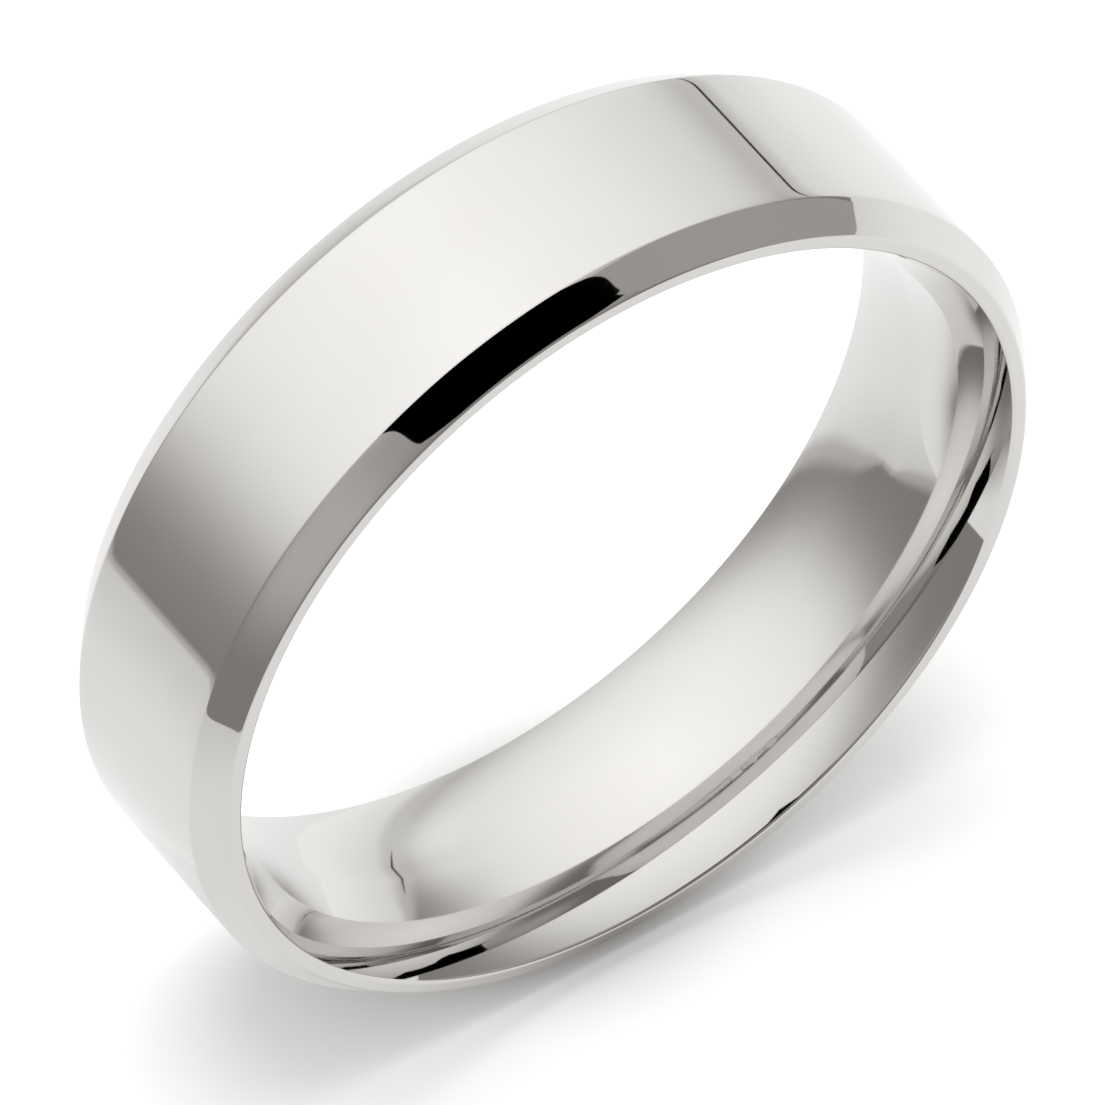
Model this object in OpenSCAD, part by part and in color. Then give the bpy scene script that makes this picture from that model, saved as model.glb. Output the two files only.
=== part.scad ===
// Wedding band: one solid ring of polished white metal.
// The ring stands on its rim: its axis lies along Y, +Z is up, and the origin is the centre of the finger hole.

/* [Ring size] */
// Inside diameter, which sets the finger size
finger_d = 19.8; // [15:0.2:23]
// Width of the band along the finger
band_w = 6; // [5:0.1:8]
// Thickness of the metal from the finger to the flat outer face
wall_t = 1.55; // [1.5:0.05:2.4]

/* [Bevels] */
// Width of each bevel, measured along the finger
bevel_w = 0.78; // [0.4:0.02:1]
// Drop of each bevel from the flat outer face to the side of the band
bevel_drop = 0.55; // [0.3:0.05:0.6]

/* [Comfort curve] */
// Width of the straight wall at the narrowest part of the finger hole
straight_w = 0.4; // [0.3:0.1:1.2]
// How far the domed inside falls away from the finger by the time it reaches the side
comfort_rise = 0.67; // [0.3:0.01:0.67]
// Radius of the softened creases
crease_r = 0.12; // [0.06:0.01:0.16]

/* [Punch marks] */
// Height of each blank punch mark, along the finger
mark_h = 1.1; // [0.6:0.1:1.4]
// Depth of the punch marks in the wall of the finger hole
mark_depth = 0.06; // [0.04:0.01:0.1]
// Gap between neighbouring marks
mark_gap = 0.3; // [0.2:0.05:0.6]
// Angle of the row's middle around the ring, from +X towards +Z
mark_angle = 115; // [0:1:360]

/* [Hidden] */
$fn = 180;

bore_r = finger_d / 2;
outer_r = bore_r + wall_t;
half_w = band_w / 2;

// Bevel: its slope, and the outward direction of its face
bevel_slope = atan2(bevel_drop, bevel_w);
bevel_out = [cos(bevel_slope), sin(bevel_slope)];

// Middle of the disc that rounds the crease between the flat and the bevel, and the one between the bevel and the side
flat_crease_x = outer_r - crease_r;
flat_crease = [flat_crease_x, half_w - bevel_w - crease_r * tan(bevel_slope / 2)];
side_crease_turn = 90 - bevel_slope;
side_crease = [outer_r - bevel_drop - crease_r * tan(side_crease_turn / 2), half_w - crease_r];

// Comfort curve: how much of the half width it takes, its radius and middle, where it meets the side,
// and the disc that rounds that meeting
comfort_w = half_w - straight_w / 2;
comfort_r = (pow(comfort_w, 2) + pow(comfort_rise, 2)) / (2 * comfort_rise);
comfort_centre = [bore_r + comfort_r, straight_w / 2];
comfort_mouth = [bore_r + comfort_rise, half_w];
inner_reach = comfort_r - crease_r;
inner_crease_y = half_w - crease_r;
inner_crease_x = comfort_centre[0] - sqrt(pow(inner_reach, 2) - pow(inner_crease_y - comfort_centre[1], 2));
inner_crease = [inner_crease_x, inner_crease_y];
comfort_end = comfort_centre + (inner_crease - comfort_centre) * comfort_r / inner_reach;

// Punch marks: a blank square, a blank lozenge and a blank octagon, one step apart around the ring
mark_step = (mark_h + mark_gap) / bore_r * 180 / PI;
mark_overlap = 0.5;

// Sharp corners of the section on its outer side
flat_corner = [outer_r, half_w - bevel_w];
side_corner = [outer_r - bevel_drop, half_w];

// How far the cutting tools overrun the metal, and how far a crease disc stands proud of the faces it joins,
// which makes it cross them at a clean edge
overrun = 1;
crease_lift = 0.001;

// Half of the sharp outline, from the ring's axis to the flat outer face, with its mirror image
module outline() {
    corners = [[0, half_w], side_corner, flat_corner];
    polygon(concat(corners, [for (i = [2 : -1 : 0]) [corners[i][0], -corners[i][1]]]));
}

// Space that the comfort curve opens at one side of the finger hole
module comfort_opening() {
    difference() {
        translate([bore_r - overrun, comfort_centre[1]])
            square([overrun + comfort_rise, comfort_w + overrun]);
        translate(comfort_centre) circle(r = comfort_r);
    }
}

// Sliver between a sharp corner and the disc that rounds it
module crease_sliver(corner, centre, first, last) {
    difference() {
        polygon([first, centre + 2 * (corner - centre), last, centre]);
        translate(centre) circle(r = crease_r + crease_lift);
    }
}

// Everything that is turned away at one side of the band
module side_cuts() {
    rotate_extrude() comfort_opening();
    rotate_extrude()
        crease_sliver(flat_corner, flat_crease, [outer_r, flat_crease[1]], flat_crease + bevel_out * crease_r);
    rotate_extrude()
        crease_sliver(side_corner, side_crease, side_crease + bevel_out * crease_r, [side_crease[0], half_w]);
    rotate_extrude()
        crease_sliver(comfort_mouth, inner_crease, [inner_crease[0], half_w], comfort_end);
}

// Outline of one blank punch: 0 is a square, 1 is a lozenge, 2 is an octagon
module punch_outline(shape) {
    if (shape == 0) square(mark_h * 0.86, center = true);
    if (shape == 1) rotate(45) square(mark_h * 0.78, center = true);
    if (shape == 2) rotate(22.5) circle(d = mark_h, $fn = 8);
}

// Cutting block for one punch mark, pointing away from the ring's axis
module punch(shape) {
    translate([bore_r - mark_overlap, 0, 0])
        rotate([90, 0, 90])
            linear_extrude(mark_overlap + mark_depth) punch_outline(shape);
}

// The ring: the section turned about the axis, less the punch marks
module band() {
    color([0.82, 0.81, 0.8])
        rotate([90, 0, 0])
            difference() {
                rotate_extrude() outline();
                cylinder(r = bore_r, h = band_w + overrun, center = true);
                side_cuts();
                mirror([0, 0, 1]) side_cuts();
                for (i = [0 : 2])
                    rotate([0, 0, mark_angle + (i - 1) * mark_step]) punch(i);
            }
}

band();
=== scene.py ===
"""Wedding band: a mirror-polished ring of white metal, standing on a white sheet in a soft studio."""

from math import asin, atan2, cos, degrees, exp, pi, radians, sin, sqrt, tan

import bpy
from mathutils import Euler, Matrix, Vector


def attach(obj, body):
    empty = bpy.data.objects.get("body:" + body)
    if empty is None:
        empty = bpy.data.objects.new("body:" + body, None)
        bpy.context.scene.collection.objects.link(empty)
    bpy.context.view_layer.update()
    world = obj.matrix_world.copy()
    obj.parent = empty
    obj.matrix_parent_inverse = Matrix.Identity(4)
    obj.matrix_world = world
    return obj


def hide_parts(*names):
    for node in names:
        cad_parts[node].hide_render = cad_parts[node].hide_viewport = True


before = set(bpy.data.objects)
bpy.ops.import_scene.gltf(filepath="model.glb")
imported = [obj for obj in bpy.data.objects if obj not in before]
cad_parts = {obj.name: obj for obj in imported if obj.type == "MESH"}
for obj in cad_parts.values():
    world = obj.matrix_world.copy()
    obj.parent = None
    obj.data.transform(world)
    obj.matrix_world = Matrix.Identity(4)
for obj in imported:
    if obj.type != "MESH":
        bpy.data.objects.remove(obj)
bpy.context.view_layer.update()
MM = 0.001

# ---------------------------------------------------------------- the section of the band, in millimetres
BORE_R = 9.9
WALL_T = 1.55
HALF_W = 3.0
BEVEL_W = 0.78
BEVEL_DROP = 0.55
STRAIGHT_W = 0.4
COMFORT_RISE = 0.67
CREASE_R = 0.12
OUTER_R = BORE_R + WALL_T

CREASE_STEPS = 10      # facets round each softened crease
DOME_STEP = 0.09       # spacing of the rings of points on the domed inside
FINE_STEP = 0.03       # spacing where the punch marks are
COARSE_TURN = 0.4      # degrees between neighbouring sections of the ring
FINE_TURN = 0.17       # the same where the punch marks are
# A polishing wheel turns a face over a little beside each crease. Only the normals are turned here, and the
# points stay on the flat face.
WEAR_TILT = 4.0        # degrees, right beside the crease
WEAR_REACH = 0.11      # distance from the crease over which that dies away
WEAR_STEPS = (0.03, 0.07, 0.12, 0.18, 0.25, 0.33, 0.42)    # distances from the crease that have points

# ---------------------------------------------------------------- the blank punch marks
MARK_H = 1.1
MARK_DEPTH = 0.06
MARK_GAP = 0.3
MARK_ANGLE = 115.0
MARK_STEP = degrees((MARK_H + MARK_GAP) / BORE_R)
MARK_SQUARE = 0.43 * MARK_H    # from the middle of the square to its side
MARK_LOZENGE = 0.39 * MARK_H   # the same for the lozenge
MARK_OCTAGON = 0.5 * MARK_H * cos(pi / 8)
MARK_EDGE = 0.05       # width of the soft edge that a punch leaves
MARK_REACH = 0.75      # half of the height and width that one mark may take up
UNCHANGED = 0.99999    # cosine of the turn below which a point by a mark keeps the smooth wall's facing

# ---------------------------------------------------------------- roughness of the polish
OUTSIDE_GLOSS = 0.03
INSIDE_MATT = 0.05     # in the middle of the inner wall, which a buffing wheel reaches less well
MATT_HALF_W = 1.5      # distance from the mid plane at which that begins to fade
MATT_FADE = 0.6        # distance over which it fades

FLOOR_Z = -OUTER_R


def clamp(x, low, high):
    return min(max(x, low), high)


def smooth(x):
    """A soft step from 0 to 1 as x goes from 0 to 1."""
    x = clamp(x, 0.0, 1.0)
    return x * x * (3 - 2 * x)


def arc(centre, radius, first, last, steps):
    """Points on an arc, each with the direction that it faces: (r, y, facing r, facing y). Angles in degrees."""
    points = []
    for i in range(steps + 1):
        a = radians(first + (last - first) * i / steps)
        points.append((centre[0] + radius * cos(a), centre[1] + radius * sin(a), cos(a), sin(a)))
    return points


def worn_face(start, end, facing, before, after):
    """Points on a flat face between two creases, which faces up to `before` degrees further round beside the
    first crease and up to `after` degrees beside the second one."""
    length = sqrt((end[0] - start[0]) ** 2 + (end[1] - start[1]) ** 2)
    away = [d for d in WEAR_STEPS if d < length / 2]
    points = []
    for d in away + [length - d for d in reversed(away)]:
        turned = facing + before * exp(-d / WEAR_REACH) + after * exp((d - length) / WEAR_REACH)
        share = d / length
        points.append((start[0] + (end[0] - start[0]) * share, start[1] + (end[1] - start[1]) * share,
                       cos(radians(turned)), sin(radians(turned))))
    return points


def dome_radius():
    """Radius of the comfort curve, from half of its width and its rise."""
    half = HALF_W - STRAIGHT_W / 2
    return (half ** 2 + COMFORT_RISE ** 2) / (2 * COMFORT_RISE)


def inner_point(y):
    """The point of the finger hole's wall at that distance from the mid plane, and where it faces."""
    radius = dome_radius()
    past = max(abs(y) - STRAIGHT_W / 2, 0.0)
    lean = asin(past / radius)
    side = 1 if y > 0 else -1
    return (BORE_R + radius * (1 - cos(lean)), y, -cos(lean), side * sin(lean))


def half_section():
    """The section for y above 0, from the end of the dome, over the side and the bevel, to the outer face."""
    slope = degrees(atan2(BEVEL_DROP, BEVEL_W))
    flat = (OUTER_R - CREASE_R, HALF_W - BEVEL_W - CREASE_R * tan(radians(slope / 2)))
    side = (OUTER_R - BEVEL_DROP - CREASE_R * tan(radians((90 - slope) / 2)), HALF_W - CREASE_R)
    radius = dome_radius()
    centre = (BORE_R + radius, STRAIGHT_W / 2)
    rise = HALF_W - CREASE_R - centre[1]
    inner = (centre[0] - sqrt((radius - CREASE_R) ** 2 - rise ** 2), HALF_W - CREASE_R)
    dome_end = 180 - degrees(asin(rise / (radius - CREASE_R)))
    inner_arc = arc(inner, CREASE_R, dome_end, 90, CREASE_STEPS)
    side_arc = arc(side, CREASE_R, 90, slope + WEAR_TILT, CREASE_STEPS)
    flat_arc = arc(flat, CREASE_R, slope - WEAR_TILT, WEAR_TILT, CREASE_STEPS)
    bevel = worn_face(side_arc[-1], flat_arc[0], slope, WEAR_TILT, -WEAR_TILT)
    outer = worn_face(flat_arc[-1], (OUTER_R, 0), 0, WEAR_TILT, 0)
    return inner_arc + side_arc + bevel + flat_arc + outer


def inner_rows(limit):
    """Distances from the mid plane at which the inner wall has points, up to the limit on each side."""
    rows = []
    y = -MARK_REACH
    while y < MARK_REACH + FINE_STEP / 2:
        rows.append(y)
        y += FINE_STEP
    steps = int((limit - MARK_REACH) / DOME_STEP)
    outer = [MARK_REACH + (limit - MARK_REACH) * i / steps for i in range(1, steps)]
    return [-y for y in reversed(outer)] + rows + outer


def section():
    """The whole closed section, starting at the dome's far end and going round by way of the outer face, and
    how many of its points lie on the inner wall. Those come first."""
    front = half_section()
    mirror = [(r, -y, nr, -ny) for r, y, nr, ny in reversed(front)]
    inside = [inner_point(y) for y in inner_rows(front[0][1])]
    return inside + front + mirror, len(inside)


def turns():
    """Angles of the ring's sections, closer together where the punch marks are."""
    half = 1.5 * MARK_STEP + degrees(FINE_STEP)
    fine = int(2 * half / FINE_TURN)
    coarse = int((360 - 2 * half) / COARSE_TURN)
    first = [MARK_ANGLE - half + 2 * half * i / fine for i in range(fine)]
    return first + [MARK_ANGLE + half + (360 - 2 * half) * i / coarse for i in range(coarse)]


def inside_square(u, y):
    """Distance inside the outline, at u around the ring and y along the finger; it is below 0 outside."""
    return MARK_SQUARE - max(abs(u), abs(y))


def inside_lozenge(u, y):
    return MARK_LOZENGE - (abs(u) + abs(y)) / sqrt(2)


def inside_octagon(u, y):
    return MARK_OCTAGON - max(abs(u), abs(y), (abs(u) + abs(y)) / sqrt(2))


MARKS = [inside_square, inside_lozenge, inside_octagon]


def struck(r, y, turn):
    """The radius of the inner wall once the marks are struck into it."""
    for i, inside in enumerate(MARKS):
        away = radians((turn - MARK_ANGLE - (i - 1) * MARK_STEP + 180) % 360 - 180)
        if abs(away) * BORE_R < MARK_REACH and abs(y) < MARK_REACH:
            share = smooth(inside(BORE_R * sin(away), y) / MARK_EDGE + 0.5)
            floor = (BORE_R + MARK_DEPTH) / cos(away)
            return r + share * max(floor - r, 0.0)
    return r


def inside_gloss(y):
    """Roughness of the inner wall, which is less brightly polished in its middle than beside the rims."""
    return INSIDE_MATT + (OUTSIDE_GLOSS - INSIDE_MATT) * smooth((abs(y) - MATT_HALF_W) / MATT_FADE)


def build_band():
    """The ring: its section at every turn, with the marks struck into the inner wall."""
    points, inner = section()
    angles = turns()
    near = [j for j in range(inner) if abs(points[j][1]) < MARK_REACH]
    n, m = len(angles), len(points)
    verts, normals, polish = [], [], []
    for turn in angles:
        c, s = cos(radians(turn)), sin(radians(turn))
        for j, (r, y, nr, ny) in enumerate(points):
            if j in near:
                r = struck(r, y, turn)
            verts.append((r * c * MM, y * MM, r * s * MM))
            normals.append((nr * c, ny, nr * s))
            polish.append(inside_gloss(y) if j < inner else OUTSIDE_GLOSS)
    faces = []
    for i in range(n):
        for j in range(m):
            a, b = i * m + j, i * m + (j + 1) % m
            k = (i + 1) % n
            faces.append((a, b, k * m + (j + 1) % m, k * m + j))
    # A struck vertex faces the way its neighbours lie
    for i in range(n):
        for j in near:
            here = i * m + j
            along = Vector(verts[(i + 1) % n * m + j]) - Vector(verts[(i - 1) % n * m + j])
            across = Vector(verts[i * m + j + 1]) - Vector(verts[i * m + j - 1])
            facing = along.cross(across).normalized()
            if facing.dot(Vector(normals[here])) < 0:
                facing.negate()
            if facing.dot(Vector(normals[here])) < UNCHANGED:
                normals[here] = tuple(facing)
    mesh = bpy.data.meshes.new("band")
    mesh.from_pydata(verts, [], faces)
    mesh.validate()
    mesh.polygons.foreach_set("use_smooth", [True] * len(mesh.polygons))
    face = mesh.polygons[0]
    if face.normal.dot(Vector(normals[face.vertices[0]])) < 0:
        mesh.flip_normals()
    mesh.normals_split_custom_set_from_vertices(normals)
    layer = mesh.attributes.new("polish", "FLOAT", "POINT")
    layer.data.foreach_set("value", polish)
    obj = bpy.data.objects.new("polished_band", mesh)
    bpy.context.scene.collection.objects.link(obj)
    return obj


# ---------------------------------------------------------------- materials
def new_material(name):
    mat = bpy.data.materials.new(name)
    mat.use_nodes = True
    nodes = mat.node_tree.nodes
    nodes.clear()
    return mat, nodes, mat.node_tree.links


def node(nodes, kind, **inputs):
    made = nodes.new(kind)
    for name, value in inputs.items():
        made.inputs[name.replace("_", " ")].default_value = value
    return made


METAL_DARK = (0.700, 0.688, 0.674, 1)
METAL_LIGHT = (0.716, 0.706, 0.695, 1)
CLOUD_SCALE = 260.0        # patches of each tint, per metre, as for the two scales below
CLOUD_RANGE = (0.35, 0.65)
GRAIN_SCALE = 1500.0
GRAIN_RANGE = (0.35, 0.70)
GLOSS_RANGE = (0.75, 1.25)     # share of the roughness that the grain leaves
BUFFING_SCALE = 210.0
BUFFING_DEPTH = 0.02 * MM
BUFFING_STRENGTH = 0.05


def polished_metal():
    """White metal with a mirror polish: faint clouding of the tint, a gloss that varies a little, and the
    soft unevenness that a buffing wheel leaves."""
    mat, nodes, links = new_material("polished_white_metal")
    out = nodes.new("ShaderNodeOutputMaterial")
    shader = node(nodes, "ShaderNodeBsdfPrincipled", Metallic=1.0)
    links.new(shader.outputs["BSDF"], out.inputs["Surface"])
    place = nodes.new("ShaderNodeTexCoord")

    cloud = node(nodes, "ShaderNodeTexNoise", Scale=CLOUD_SCALE, Detail=3.0)
    links.new(place.outputs["Object"], cloud.inputs["Vector"])
    tint = nodes.new("ShaderNodeValToRGB")
    tint.color_ramp.elements[0].position = CLOUD_RANGE[0]
    tint.color_ramp.elements[0].color = METAL_DARK
    tint.color_ramp.elements[1].position = CLOUD_RANGE[1]
    tint.color_ramp.elements[1].color = METAL_LIGHT
    links.new(cloud.outputs["Fac"], tint.inputs["Fac"])
    links.new(tint.outputs["Color"], shader.inputs["Base Color"])

    grain = node(nodes, "ShaderNodeTexNoise", Scale=GRAIN_SCALE, Detail=5.0)
    links.new(place.outputs["Object"], grain.inputs["Vector"])
    vary = node(nodes, "ShaderNodeMapRange", From_Min=GRAIN_RANGE[0], From_Max=GRAIN_RANGE[1],
                To_Min=GLOSS_RANGE[0], To_Max=GLOSS_RANGE[1])
    links.new(grain.outputs["Fac"], vary.inputs["Value"])
    polish = nodes.new("ShaderNodeAttribute")
    polish.attribute_name = "polish"
    gloss = nodes.new("ShaderNodeMath")
    gloss.operation = "MULTIPLY"
    links.new(polish.outputs["Fac"], gloss.inputs[0])
    links.new(vary.outputs["Result"], gloss.inputs[1])
    links.new(gloss.outputs["Value"], shader.inputs["Roughness"])

    buffing = node(nodes, "ShaderNodeTexNoise", Scale=BUFFING_SCALE, Detail=1.0)
    links.new(place.outputs["Object"], buffing.inputs["Vector"])
    uneven = node(nodes, "ShaderNodeBump", Strength=BUFFING_STRENGTH, Distance=BUFFING_DEPTH)
    links.new(buffing.outputs["Fac"], uneven.inputs["Height"])
    links.new(uneven.outputs["Normal"], shader.inputs["Normal"])
    return mat


SHEET_WHITE = (0.80, 0.80, 0.795, 1)
SHEET_PAINTED_SHADOW = (0.42, 0.415, 0.405, 1)    # painted contact shadow: the sheet's colour where the ring stands on it
PAINTED_SHADOW_REACH = (5.5, 6.0)       # reach of that painted shadow across the ring and along its axis, in millimetres


def sheet_paper():
    """White paper with a painted contact shadow: its colour darkens towards the place where the ring stands."""
    mat, nodes, links = new_material("white_sheet")
    out = nodes.new("ShaderNodeOutputMaterial")
    shader = nodes.new("ShaderNodeBsdfDiffuse")
    links.new(shader.outputs["BSDF"], out.inputs["Surface"])
    place = nodes.new("ShaderNodeTexCoord")
    # Painted contact shadow: the paper's colour darkens in a soft patch round the place where the ring stands
    fit = node(nodes, "ShaderNodeMapping", Scale=(1 / (PAINTED_SHADOW_REACH[0] * MM), 1 / (PAINTED_SHADOW_REACH[1] * MM), 1))
    links.new(place.outputs["Object"], fit.inputs["Vector"])
    painted_shadow_spot = nodes.new("ShaderNodeTexGradient")
    painted_shadow_spot.gradient_type = "SPHERICAL"
    links.new(fit.outputs["Vector"], painted_shadow_spot.inputs["Vector"])
    tone = nodes.new("ShaderNodeValToRGB")
    tone.color_ramp.interpolation = "EASE"
    tone.color_ramp.elements[0].color = SHEET_WHITE
    tone.color_ramp.elements[1].color = SHEET_PAINTED_SHADOW
    links.new(painted_shadow_spot.outputs["Fac"], tone.inputs["Fac"])
    links.new(tone.outputs["Color"], shader.inputs["Color"])
    return mat


def glow_material(name):
    """A surface that shines with the colour stored at its points."""
    mat, nodes, links = new_material(name)
    out = nodes.new("ShaderNodeOutputMaterial")
    shader = nodes.new("ShaderNodeEmission")
    colour = nodes.new("ShaderNodeAttribute")
    colour.attribute_name = "glow"
    links.new(colour.outputs["Color"], shader.inputs["Color"])
    links.new(shader.outputs["Emission"], out.inputs["Surface"])
    mat.cycles.emission_sampling = "NONE"
    return mat


# ---------------------------------------------------------------- the studio
def mesh_object(name, verts, faces, material):
    """A piece of the studio, which isn't part of the ring."""
    mesh = bpy.data.meshes.new(name)
    mesh.from_pydata([tuple(v) for v in verts], [], faces)
    obj = bpy.data.objects.new(name, mesh)
    bpy.context.scene.collection.objects.link(obj)
    mesh.materials.append(material)
    return obj


def quads_round(rows, columns):
    """Faces between neighbouring rows of points, where each row closes on itself."""
    faces = []
    for i in range(rows):
        for j in range(columns):
            k = (j + 1) % columns
            faces.append((i * columns + j, i * columns + k, (i + 1) * columns + k, (i + 1) * columns + j))
    return faces


def only_reflected(obj, lean):
    """Part of the studio that shows in the metal and nowhere else, leaning over about the ring's axis."""
    obj.visible_camera = False
    obj.visible_diffuse = False
    obj.visible_shadow = False
    obj.visible_transmission = False
    obj.rotation_euler[1] = radians(lean)


def set_glow(obj, colours):
    layer = obj.data.color_attributes.new("glow", "FLOAT_COLOR", "POINT")
    for i, c in enumerate(colours):
        layer.data[i].color = (*c, 1.0)


def toward(azimuth, elevation, distance=1.0):
    """A point in that direction from the ring, with azimuth counted from +X towards +Y."""
    a, e = radians(azimuth), radians(elevation)
    return Vector((cos(a) * cos(e), sin(a) * cos(e), sin(e))) * distance


# The metal shows a tent of light, which stands in for the room and is apart from the lamp and the world that
# light the floor. Directions are azimuth and elevation in degrees, from the ring and before the tent leans.
TENT_R = 0.5
TENT_COLUMNS = 240
TENT_ROWS = 70             # above the sheet's edge
SHEET_ROWS = 50            # and below it
ROW_CROWDING = 1.6         # above 1, the rows are closer together near the sheet's edge
TENT_LEAN = -16            # degrees that the tent and its cards lean over, about the ring's axis
# The overhead softbox fills the tent behind and above the ring, and its light falls off away from its axis
SOFTBOX = (73, 60)
SOFTBOX_LEVEL = 1.05
SOFTBOX_DROOP = 0.0045     # share lost per degree inside the softbox
SOFTBOX_EDGE = 61.0        # degrees from the axis at which its edge has half of the light
SOFTBOX_SOFT = 6.5         # degrees over which that edge fades
WALL_LEVEL = 0.265         # brightness of the tent where nothing lights it
# Weaker patches of light: azimuth, elevation, reach in degrees, brightness
FILLS = [
    (224, 34, 26, 0.26),    # card at the left of the camera
    (212, 20, 18, 0.16),    # its lower part
    (46, 10, 28, 0.50),     # wall at the right, behind the ring
    (40, 9, 18, 0.28),      # its brightest part
    (82, 0, 32, 0.26),      # wall behind the ring
]
# The edge of the white sheet: azimuth, elevation
SHEET_EDGE = [(0, -6), (20, -3), (35, -4), (60, -8), (85, -10), (97, -12), (105, -13), (112, -14),
              (122, -10), (130, -6.5), (138, -4), (147, -4), (190, -5), (203, -10), (250, -9), (320, -8),
              (350, -8), (360, -6)]
# How soft that edge is: azimuth, half of the height in degrees over which it fades
EDGE_BLUR = [(0, 0), (15, 3), (25, 5), (40, 6), (90, 4), (110, 5), (125, 6), (138, 5), (143, 3.5),
             (146, 1.5), (148.5, 1.5), (151, 3), (156, 4), (165, 4), (178, 0), (360, 0)]
LEAST_BLUR = 0.5           # keeps the fade from dividing by 0
SHEET_FAR = 0.80           # brightness of the sheet near its edge
SHEET_NEAR = 1.00          # and below the ring
SHEET_SIDE = 0.07          # how far it rises above that at its bright side, and drops below it opposite
SHEET_BRIGHT_SIDE = 30     # azimuth of that side
SHEET_DEPTH = 28           # degrees below level at which it reaches its full brightness
WARM_DARK = (1.0, 0.955, 0.905)
WARM_LIGHT = (1.0, 0.995, 0.988)


def warm(level):
    """Grey of that brightness: the darker parts of the studio are a little browner."""
    share = smooth(level)
    return tuple(level * (d + (l - d) * share) for d, l in zip(WARM_DARK, WARM_LIGHT))


def between(table, x):
    """The value at x on the line through a table's points."""
    for (x0, y0), (x1, y1) in zip(table, table[1:]):
        if x0 <= x <= x1:
            return y0 + (y1 - y0) * (x - x0) / (x1 - x0)
    return table[-1][1]


def tent_level(direction):
    """Brightness of the tent above the sheet, in that direction."""
    angle = degrees(direction.angle(toward(*SOFTBOX)))
    inside = 1 / (1 + exp((angle - SOFTBOX_EDGE) / SOFTBOX_SOFT))
    level = WALL_LEVEL + SOFTBOX_LEVEL * (1 - SOFTBOX_DROOP * angle) * inside
    for azimuth, elevation, reach, extra in FILLS:
        away = degrees(direction.angle(toward(azimuth, elevation)))
        level += extra * (1 - inside) * smooth(1 - away / reach)
    return level


def sheet_level(azimuth, elevation):
    """Brightness of the sheet, before the ring shades it."""
    depth = smooth(-elevation / SHEET_DEPTH)
    side = SHEET_SIDE * cos(radians(azimuth - SHEET_BRIGHT_SIDE))
    return SHEET_FAR + (SHEET_NEAR - SHEET_FAR) * depth + side


def build_bowl(name, material, rows, last):
    """The tent from the edge of the sheet to that elevation. Near the edge, the light on both sides blends."""
    verts, colours = [], []
    above = last > 0
    for i in range(rows + 1):
        for j in range(TENT_COLUMNS):
            azimuth = 360 * j / TENT_COLUMNS
            edge = between(SHEET_EDGE, azimuth)
            elevation = edge + (last - edge) * (i / rows) ** ROW_CROWDING
            direction = toward(azimuth, elevation)
            blur = between(EDGE_BLUR, azimuth)
            # The bowl's own share of the light falls to a half at the edge, where the other bowl begins
            own = 1 - 0.5 * smooth(blur) * (1 - smooth(abs(elevation - edge) / max(blur, LEAST_BLUR)))
            sheet = 1 - own if above else own
            level = tent_level(direction) + (sheet_level(azimuth, elevation) - tent_level(direction)) * sheet
            verts.append(direction * TENT_R)
            colours.append(warm(level))
    bowl = mesh_object(name, verts, quads_round(rows, TENT_COLUMNS), material)
    set_glow(bowl, colours)
    only_reflected(bowl, TENT_LEAN)


def sky_card(name, material, corners, level, distance):
    """A flat panel with its corners in these directions from the ring."""
    verts = [toward(azimuth, elevation, distance) for azimuth, elevation in corners]
    card = mesh_object(name, verts, [tuple(range(len(corners)))], material)
    set_glow(card, [warm(level)] * len(corners))
    only_reflected(card, TENT_LEAN)


# Corners of the cards that hang in the tent: azimuth, elevation
# The black hood over the camera makes the black stretch of the front bevel
HOOD = [(220, 51.5), (229, 59), (241, 64.6), (255, 69), (269, 68.2), (281, 63.6), (296, 60), (311, 56),
        (316, 47), (315.5, 38), (300, 40), (280, 44), (262, 45), (248, 47), (228, 56)]
# The grey flag beside it makes the grey stretch at the right of that bevel
FLAG = [(314, 47), (325, 42), (335, 33), (345, 22), (351, 14), (351, -8), (335, -8), (314, -8)]
# A dark strip stands in for the shade in the gap between the sheet and the wall: this painted shade makes the
# thin line across the flat outer face
GAP = [(27, -3.35), (33, -3.75), (39, -4.6), (40, -4.9), (33, -4.5), (27, -3.6)]
# Name, corners, brightness, distance from the ring in metres
CARDS = [
    ("camera_hood", HOOD, 0.0, 0.42),
    ("grey_flag", FLAG, 0.43, 0.44),
    ("gap_shade_strip", GAP, 0.05, 0.46),
]

FLOOR_HALF = 0.9           # half of the side of the sheet that the camera sees, in metres
# Middle and radius, in millimetres, of the part of the sheet that is close enough to the ring to matter
NEAR_SHEET = (0.0, -13.0, 21.0)
NEAR_SHEET_LIFT = 0.02     # its height above the floor
NEAR_SHEET_ROWS = 48
NEAR_SHEET_COLUMNS = 120
SHADE = 0.42               # share of the sheet's light that is lost under the ring
SHADE_X = 8.5              # reach of that shadow across the ring
SHADE_Y = 1.6              # and beyond its two sides
CONTACT = 0.30             # share that is lost as well where the ring touches the sheet
CONTACT_X = 2.2            # reach of that darker part across the ring


def ring_shadow(x, y):
    """Share of the light that is left on the sheet at that place."""
    beyond = exp(-(max(abs(y) - HALF_W, 0.0) / SHADE_Y) ** 2)
    return 1 - beyond * (SHADE * exp(-(x / SHADE_X) ** 4) + CONTACT * exp(-(x / CONTACT_X) ** 2))


def build_floor():
    """The sheet that the ring stands on, as the camera sees it. The metal sees the stand-in below instead."""
    corners = [(-FLOOR_HALF, -FLOOR_HALF, 0), (FLOOR_HALF, -FLOOR_HALF, 0),
               (FLOOR_HALF, FLOOR_HALF, 0), (-FLOOR_HALF, FLOOR_HALF, 0)]
    sheet = mesh_object("white_sheet", corners, [(0, 1, 2, 3)], sheet_paper())
    sheet.location.z = FLOOR_Z * MM
    sheet.visible_glossy = False


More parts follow.
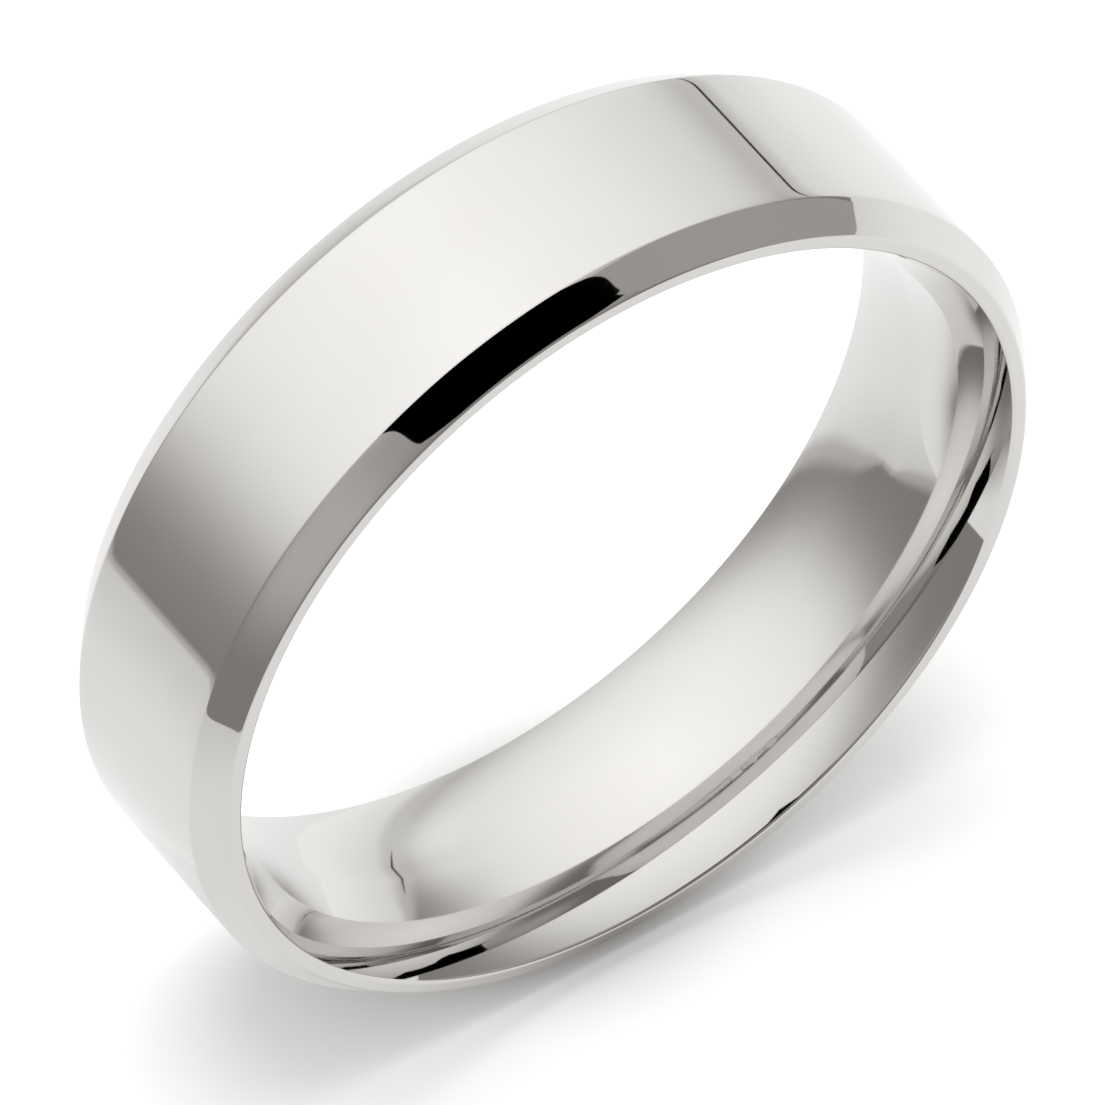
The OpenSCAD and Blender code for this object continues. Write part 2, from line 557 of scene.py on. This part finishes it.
def build_near_sheet(material):
    """The sheet close to the ring, as the metal sees it, with the ring's shadow on it. Each point is as bright
    as the sheet is in its direction from the nearest part of the ring, so it joins the rest without a seam."""
    middle_x, middle_y, radius = NEAR_SHEET
    z = FLOOR_Z + NEAR_SHEET_LIFT
    verts, colours = [], []
    for i in range(NEAR_SHEET_ROWS + 1):
        r = radius * i / NEAR_SHEET_ROWS
        for j in range(NEAR_SHEET_COLUMNS):
            around = 2 * pi * j / NEAR_SHEET_COLUMNS
            x = middle_x + r * cos(around)
            y = middle_y + r * sin(around)
            verts.append((x * MM, y * MM, z * MM))
            leaning = Vector((x - clamp(x, -OUTER_R, OUTER_R), y - clamp(y, -HALF_W, HALF_W), z))
            leaning.rotate(Euler((0, -radians(TENT_LEAN), 0)))
            azimuth = degrees(atan2(leaning.y, leaning.x)) % 360
            elevation = degrees(asin(leaning.z / leaning.length))
            colours.append(warm(sheet_level(azimuth, elevation) * ring_shadow(x, y)))
    near = mesh_object("sheet_under_ring", verts, quads_round(NEAR_SHEET_ROWS, NEAR_SHEET_COLUMNS), material)
    set_glow(near, colours)
    only_reflected(near, 0)


def build_studio():
    glow = glow_material("studio_glow")
    build_floor()
    build_near_sheet(glow)
    build_bowl("light_tent", glow, TENT_ROWS, 90)
    build_bowl("sheet_around", glow, SHEET_ROWS, -90)
    for name, corners, level, distance in CARDS:
        sky_card(name, glow, corners, level, distance)


# The lamp and the world light the floor only: the metal doesn't show them
LAMP_SIZE = 0.42
LAMP_POWER = 1.7
LAMP_COLOUR = (1.0, 0.995, 0.985)
LAMP_PLACE = (88, 82, 0.55)    # azimuth, elevation, distance in metres
ROOM_COLOUR = (1, 1, 1, 1)
ROOM_LIGHT = 1.2


def build_lights():
    light = bpy.data.lights.new("overhead_softbox", "AREA")
    light.shape = "DISK"
    light.size = LAMP_SIZE
    light.energy = LAMP_POWER
    light.color = LAMP_COLOUR
    lamp = bpy.data.objects.new("overhead_softbox", light)
    bpy.context.scene.collection.objects.link(lamp)
    lamp.location = toward(*LAMP_PLACE)
    lamp.rotation_mode = "QUATERNION"
    lamp.rotation_quaternion = (-lamp.location).to_track_quat("-Z", "Y")
    lamp.visible_glossy = False
    lamp.visible_camera = False

    world = bpy.data.worlds.new("white_room")
    world.use_nodes = True
    background = world.node_tree.nodes["Background"]
    background.inputs["Color"].default_value = ROOM_COLOUR
    background.inputs["Strength"].default_value = ROOM_LIGHT
    bpy.context.scene.world = world


# ---------------------------------------------------------------- the camera
CAMERA_AZIMUTH = -34.5     # 0 looks along +Y
CAMERA_ELEVATION = 49.1
FRAME_WIDTH = 24.95 * MM   # what the frame takes in at the ring
CAMERA_DISTANCE = 0.4516   # from the ring, in metres
SENSOR = 36.0
AIM_RIGHT = -0.077 * MM    # the middle of the frame, from the ring's centre
AIM_UP = -0.364 * MM


def build_camera():
    data = bpy.data.cameras.new("camera")
    data.sensor_width = SENSOR
    data.lens = SENSOR * CAMERA_DISTANCE / FRAME_WIDTH
    data.clip_start = 0.01
    data.clip_end = 10
    camera = bpy.data.objects.new("camera", data)
    bpy.context.scene.collection.objects.link(camera)
    back = toward(CAMERA_AZIMUTH - 90, CAMERA_ELEVATION)
    turn = (-back).to_track_quat("-Z", "Y")
    right = turn @ Vector((1, 0, 0))
    up = turn @ Vector((0, 1, 0))
    camera.rotation_mode = "QUATERNION"
    camera.rotation_quaternion = turn
    camera.location = right * AIM_RIGHT + up * AIM_UP + back * CAMERA_DISTANCE
    bpy.context.scene.camera = camera
    bpy.context.scene.view_settings.view_transform = "Standard"


band = build_band()
band.data.materials.append(polished_metal())
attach(band, "root")
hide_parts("band")
build_studio()
build_lights()
build_camera()
